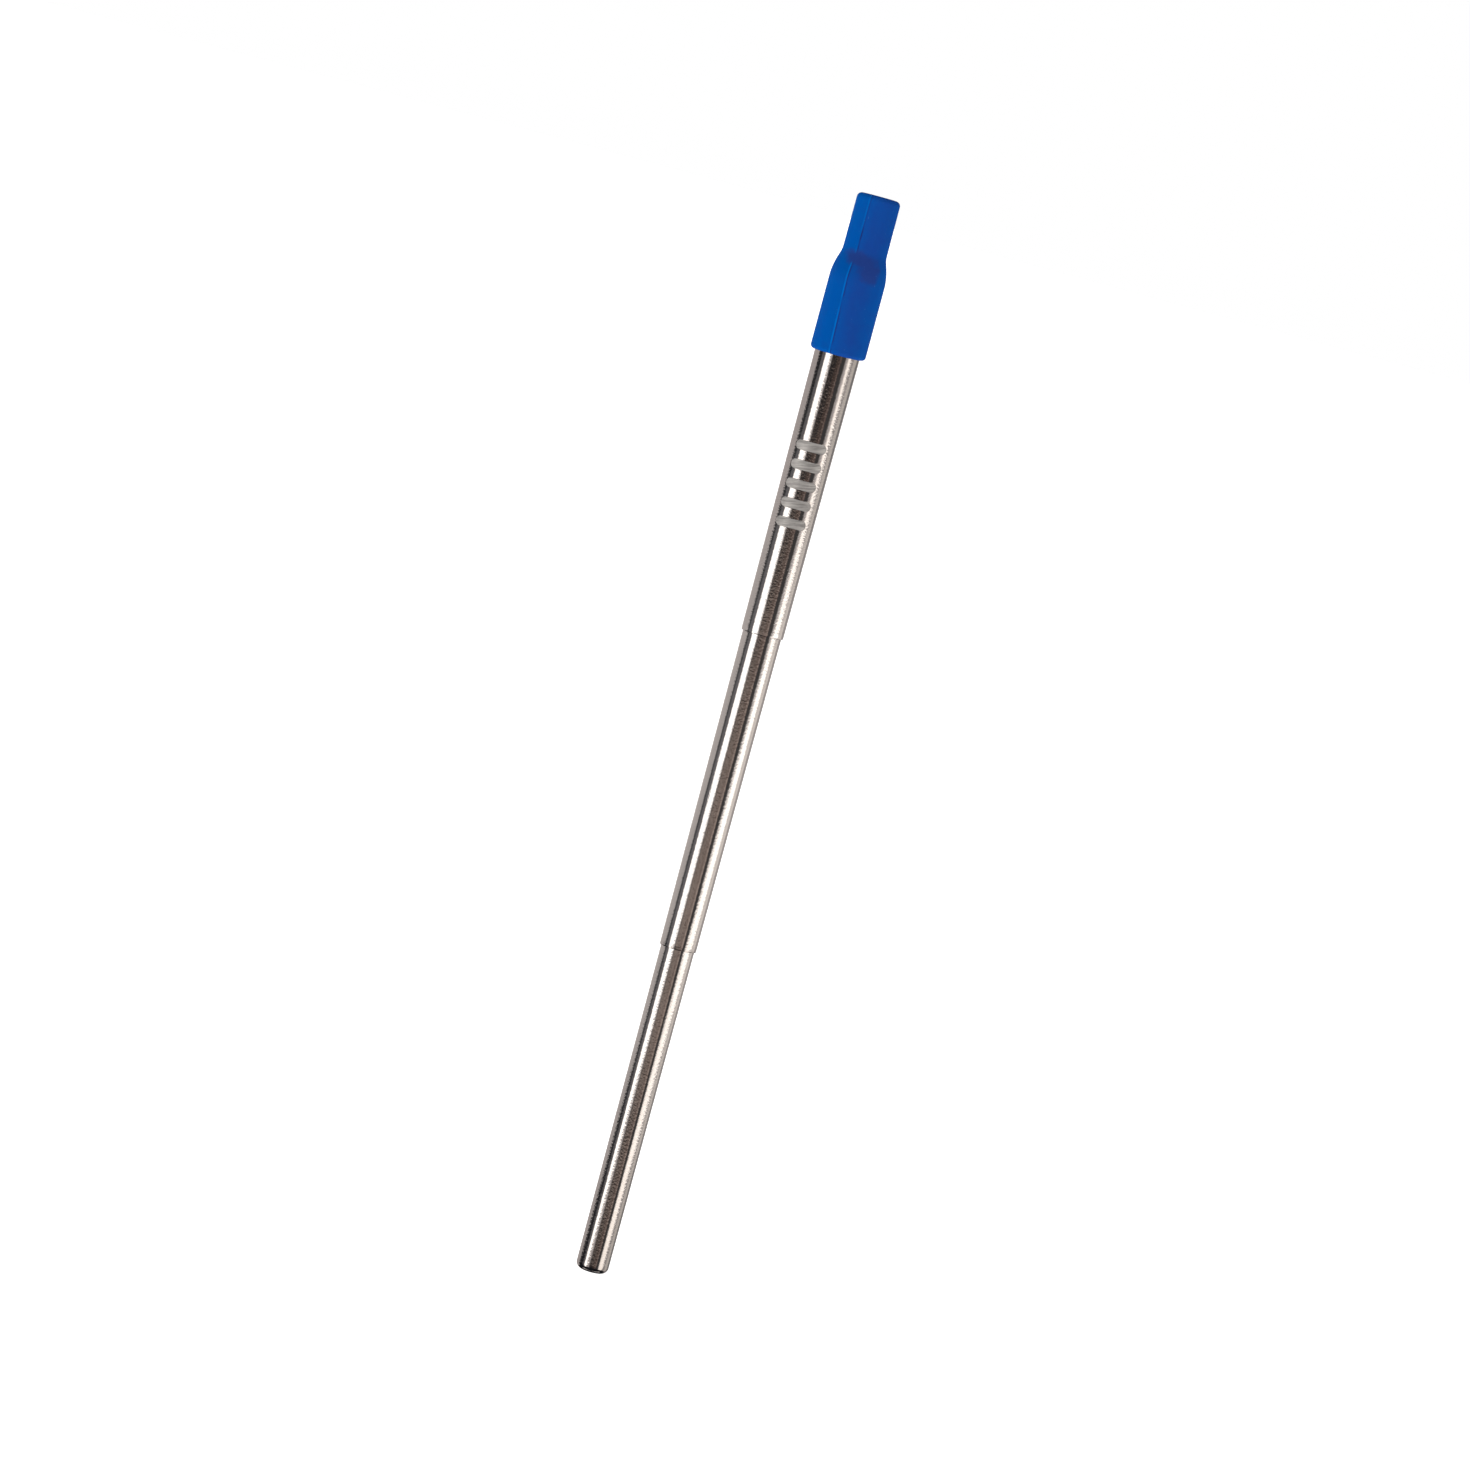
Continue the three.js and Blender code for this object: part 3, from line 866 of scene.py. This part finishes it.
class STRAW_OT_studio(bpy.types.Operator):
    """Makes the camera, the pale floor and the soft studio light"""

    bl_idname = "straw.studio"
    bl_label = "Studio"

    # What stands round the straw. Each card has a left and a right edge, how soft they are, and
    # its tint in the middle of its height and at its ends. An edge is its place in degrees to
    # the right of the camera, its bow away from the middle, its lean, and its turn at the foot;
    # a straight edge is its place alone.
    WALL = ((0.63, 0.59, 0.575), (0.5, 0.455, 0.445))
    CARDS = (
        ("left card", (-88, -1.5, 0, -7), (-57,), 3, (0.2, 0.195, 0.205), (0.15, 0.145, 0.15)),
        ("dark part of that card", (-88, -1.4, 0, -7), (-77, 0, 0, 5), 3,
         (0.12, 0.12, 0.125), (0.015, 0.015, 0.018)),
        ("left softbox", (-57,), (-24.5, -1.3, 1.5, -3), 4, (2.3, 2.25, 2.2), (2.2, 2.1, 2.0)),
        ("camera side", (-21,), (50,), 5, (0.07, 0.066, 0.066), (0.06, 0.057, 0.057)),
        ("gap beside the right softbox", (76,), (99,), 4, (0.85, 0.79, 0.75), (0.36, 0.33, 0.32)),
        ("right softbox", (59.5, -0.6, 7, 3), (97, -2.3, 0, 0), 5, (2.1, 2.0, 1.9), (1.5, 1.38, 1.28)),
        ("right wall", (99,), (126,), 4, (0.98, 0.91, 0.86), (0.62, 0.57, 0.53)),
        ("far right wall", (126,), (152,), 4, (0.5, 0.46, 0.45), (0.22, 0.21, 0.21)),
        ("rear softbox", (155,), (166,), 2, (0.35, 0.33, 0.33), (0.95, 0.92, 0.92)),
        ("rear card", (169,), (190,), 2, (0.12, 0.12, 0.12), (0.1, 0.1, 0.1)),
        ("rear card, past the join", (-190,), (-169,), 2, (0.12, 0.12, 0.12), (0.1, 0.1, 0.1)),
        ("rear strip light", (-166,), (-157,), 2, (1.5, 1.45, 1.4), (0.75, 0.7, 0.7)),
    )
    # The wall behind the camera has a height of its own.
    WARM_CARDS = (
        ("wall behind the camera", (-18,), (28,), 4, (0.4, 0.325, 0.287), (0.03, 0.026, 0.026)),
        ("warm part of that wall", (6,), (28,), 3, (0.35, 0.275, 0.243), (0.07, 0.05, 0.043)),
        ("warm strip", (20,), (28,), 2, (0.52, 0.42, 0.37), (0.14, 0.1, 0.09)),
    )

    # Limits of what bends an edge. The bow grows with the square of the height over the cards'
    # middle and the lean with that height; the turn at the foot grows with the depth below its start.
    BOW_MOST = 8.5
    LEAN_LOWEST, LEAN_HIGHEST = -1.6, 1.2
    FOOT_START, FOOT_MOST = -8.5, 1.5
    # The cards have their ends' tint where the square of the height over their middle is this.
    CARD_REACH, WARM_REACH = 8.0, 5.8
    # A light low behind the straw, and light on the floor at both sides: turns, then heights.
    LOW_LIGHT_TURNS, LOW_LIGHT_HEIGHTS = (-178.0, -163.0, 2.0), (-11.5, -13.0)
    LOW_LIGHT_TINT = (1.5, 1.45, 1.4)
    FLOOR_LIGHT_TURNS, FLOOR_LIGHT_HEIGHTS = (92.0, 125.0, 5.0), (-52.0, -58.0)
    # Where the dark below and the dark above the straw start and are whole.
    UNDER_HEIGHTS, OVER_HEIGHTS = (-29.5, -35.0), (40.0, 65.0)
    KEY_SIZE, FILL_SIZE = (0.55, 0.8), (0.5, 0.8)

    def execute(self, context):
        settings = context.scene.straw_studio
        self.camera(context, settings)
        self.floor(settings)
        self.world(context, settings)
        key_turn, key_climb = math.radians(-48), math.radians(28)
        fill_turn, fill_climb = math.radians(70), math.radians(20)
        self.softbox("key_softbox", settings, key_turn, key_climb, self.KEY_SIZE, settings.key_power)
        self.softbox("fill_softbox", settings, fill_turn, fill_climb, self.FILL_SIZE, settings.fill_power)
        context.scene.view_settings.view_transform = "Standard"
        return {"FINISHED"}

    def toward(self, settings, right_of_camera, up):
        """Unit vector from the straw to a place right of the camera and up, both in radians."""
        turn = settings.azimuth + right_of_camera
        flat = Vector((math.sin(turn), -math.cos(turn), 0.0)) * math.cos(up)
        return flat + Vector((0.0, 0.0, math.sin(up)))

    def camera(self, context, settings):
        deselect_all()
        bpy.ops.object.camera_add()
        camera = bpy.context.object
        camera.name = "studio_camera"
        aim = Vector((0.0, 0.0, settings.aim))
        back = self.toward(settings, 0.0, settings.elevation)
        turn = back.to_track_quat("Z", "Y").to_matrix().to_4x4()
        roll = Matrix.Rotation(settings.roll, 4, "Z")
        camera.matrix_world = Matrix.Translation(aim + back * settings.distance) @ turn @ roll
        camera.data.angle = settings.field
        camera.data.clip_end = 50.0
        context.scene.camera = camera

    def floor(self, settings):
        """A wide round floor, pale for the camera and left out of the steel's reflections."""
        deselect_all()
        bpy.ops.mesh.primitive_circle_add(
            vertices=96, radius=settings.floor_radius, fill_type="NGON", enter_editmode=True
        )
        floor = bpy.context.object
        floor.name = floor.data.name = "studio_floor"
        outer_band = settings.floor_radius * 0.6
        bpy.ops.mesh.inset(thickness=outer_band)
        bpy.ops.object.mode_set(mode="OBJECT")
        material = bpy.data.materials.new("pale_floor")
        graph = Graph(material)
        vector = graph.place()[0]
        cloud = graph.noise(vector, scale=3.0, detail=2.0, roughness=0.5)
        base = graph.mix(cloud, settings.floor, toned(settings.floor, 0.98))
        graph.surface(
            Base_Color=base, Roughness=0.6, Emission_Color=(1.0, 1.0, 1.0), Emission_Strength=1.0
        )
        floor.data.materials.append(material)
        floor.visible_glossy = False

    def world(self, context, settings):
        """White behind the straw for the camera; cards and softboxes all round it for the light."""
        world = bpy.data.worlds.new("studio_surround")
        context.scene.world = world
        graph = Graph(world)
        vector = graph.node("ShaderNodeTexCoord", output="Generated")
        right = self.toward(settings, math.pi / 2, 0.0)
        front = self.toward(settings, 0.0, 0.0)
        dot = {"operation": "DOT_PRODUCT"}
        sideways = graph.node("ShaderNodeVectorMath", dot, {0: vector, 1: right}, "Value")
        forward = graph.node("ShaderNodeVectorMath", dot, {0: vector, 1: front}, "Value")
        turn = sideways.math("ARCTAN2", sideways, forward) * math.degrees(1.0)
        upward = graph.node("ShaderNodeSeparateXYZ", inputs={0: vector}, output=2)
        climb = upward.math("ARCSINE", upward) * math.degrees(1.0)
        # The cards are seen in the steel from a few degrees below level; their middle is there.
        above_middle = climb + math.degrees(settings.card_middle)
        above_warm = climb + math.degrees(settings.warm_middle)
        bends = (
            (above_middle * above_middle).least(self.BOW_MOST),
            above_middle.most(self.LEAN_LOWEST).least(self.LEAN_HIGHEST),
            (self.FOOT_START - climb).most(0.0).least(self.FOOT_MOST),
        )
        ends = (above_middle * above_middle / self.CARD_REACH).least(1.0)
        warm_ends = (above_warm * above_warm / self.WARM_REACH).least(1.0)
        shade = graph.mix(ends, *self.WALL)
        for cards, reach in ((self.CARDS, ends), (self.WARM_CARDS, warm_ends)):
            for _, left, right, soft, middle_tint, end_tint in cards:
                covered = self.past(turn, left, bends, soft) * (1.0 - self.past(turn, right, bends, soft))
                shade = graph.mix(covered, shade, graph.mix(reach, middle_tint, end_tint))
        low_light = turn.band(*self.LOW_LIGHT_TURNS) * climb.rises(*self.LOW_LIGHT_HEIGHTS)
        shade = graph.mix(low_light, shade, self.LOW_LIGHT_TINT)
        shade = graph.mix(climb.rises(*self.UNDER_HEIGHTS), shade, settings.under)
        floor_light = abs(turn).band(*self.FLOOR_LIGHT_TURNS) * climb.rises(*self.FLOOR_LIGHT_HEIGHTS)
        shade = graph.mix(floor_light, shade, self.WALL[0])
        shade = graph.mix(climb.rises(*self.OVER_HEIGHTS), shade, settings.over)
        around = graph.node("ShaderNodeBackground", inputs={"Color": shade})
        behind = graph.node("ShaderNodeBackground", inputs={"Color": (1.0, 1.0, 1.0), "Strength": 1.0})
        seen = graph.node("ShaderNodeLightPath", output="Is Camera Ray")
        both = graph.node("ShaderNodeMixShader", inputs={0: seen, 1: around, 2: behind})
        graph.node("ShaderNodeOutputWorld", inputs={"Surface": both})

    def past(self, turn, edge, bends, soft):
        """1 to the right of a card's edge and 0 to its left."""
        beyond = turn - edge[0]
        for amount, bend in zip(edge[1:], bends):
            if amount:
                beyond = beyond - bend * amount
        return beyond.rises(-soft, soft)

    def softbox(self, name, settings, right_of_camera, up, size, power):
        deselect_all()
        bpy.ops.object.light_add(type="AREA")
        light = bpy.context.object
        light.name = name
        light.data.shape = "RECTANGLE"
        light.data.size, light.data.size_y = size
        light.data.energy = power
        away = self.toward(settings, right_of_camera, up)
        place = Matrix.Translation(Vector((0, 0, settings.aim)) + away)
        light.matrix_world = place @ away.to_track_quat("Z", "Y").to_matrix().to_4x4()
        light.visible_camera = False
        light.visible_glossy = False


# --- panel, registration and run ----------------------------------------------------------------

PIECES = (
    STRAW_OT_outer_tube,
    STRAW_OT_middle_tube,
    STRAW_OT_inner_tube,
    STRAW_OT_friction_sleeves,
    STRAW_OT_seal_rings,
    STRAW_OT_mouthpiece,
    STRAW_OT_studio,
)
SETTINGS = {
    "straw_tubes": StrawTubeSettings,
    "straw_mouthpiece": StrawMouthpieceSettings,
    "straw_studio": StrawStudioSettings,
}


class STRAW_PT_panel(bpy.types.Panel):
    """Lists the straw's operators"""

    bl_idname = "STRAW_PT_panel"
    bl_label = "Telescopic straw"
    bl_space_type = "VIEW_3D"
    bl_region_type = "UI"
    bl_category = "Straw"

    def draw(self, context):
        for operator in PIECES:
            self.layout.operator(operator.bl_idname)


def register():
    for made in (*SETTINGS.values(), *PIECES, STRAW_PT_panel):
        bpy.utils.register_class(made)
    for name, group in SETTINGS.items():
        setattr(bpy.types.Scene, name, PointerProperty(type=group))


def unregister():
    for name in SETTINGS:
        delattr(bpy.types.Scene, name)
    for made in reversed((*SETTINGS.values(), *PIECES, STRAW_PT_panel)):
        bpy.utils.unregister_class(made)


def main():
    register()
    bpy.ops.straw.outer_tube()
    bpy.ops.straw.middle_tube()
    bpy.ops.straw.inner_tube()
    bpy.ops.straw.friction_sleeves()
    bpy.ops.straw.seal_rings()
    bpy.ops.straw.mouthpiece()
    bpy.ops.straw.studio()


if __name__ == "__main__":
    main()
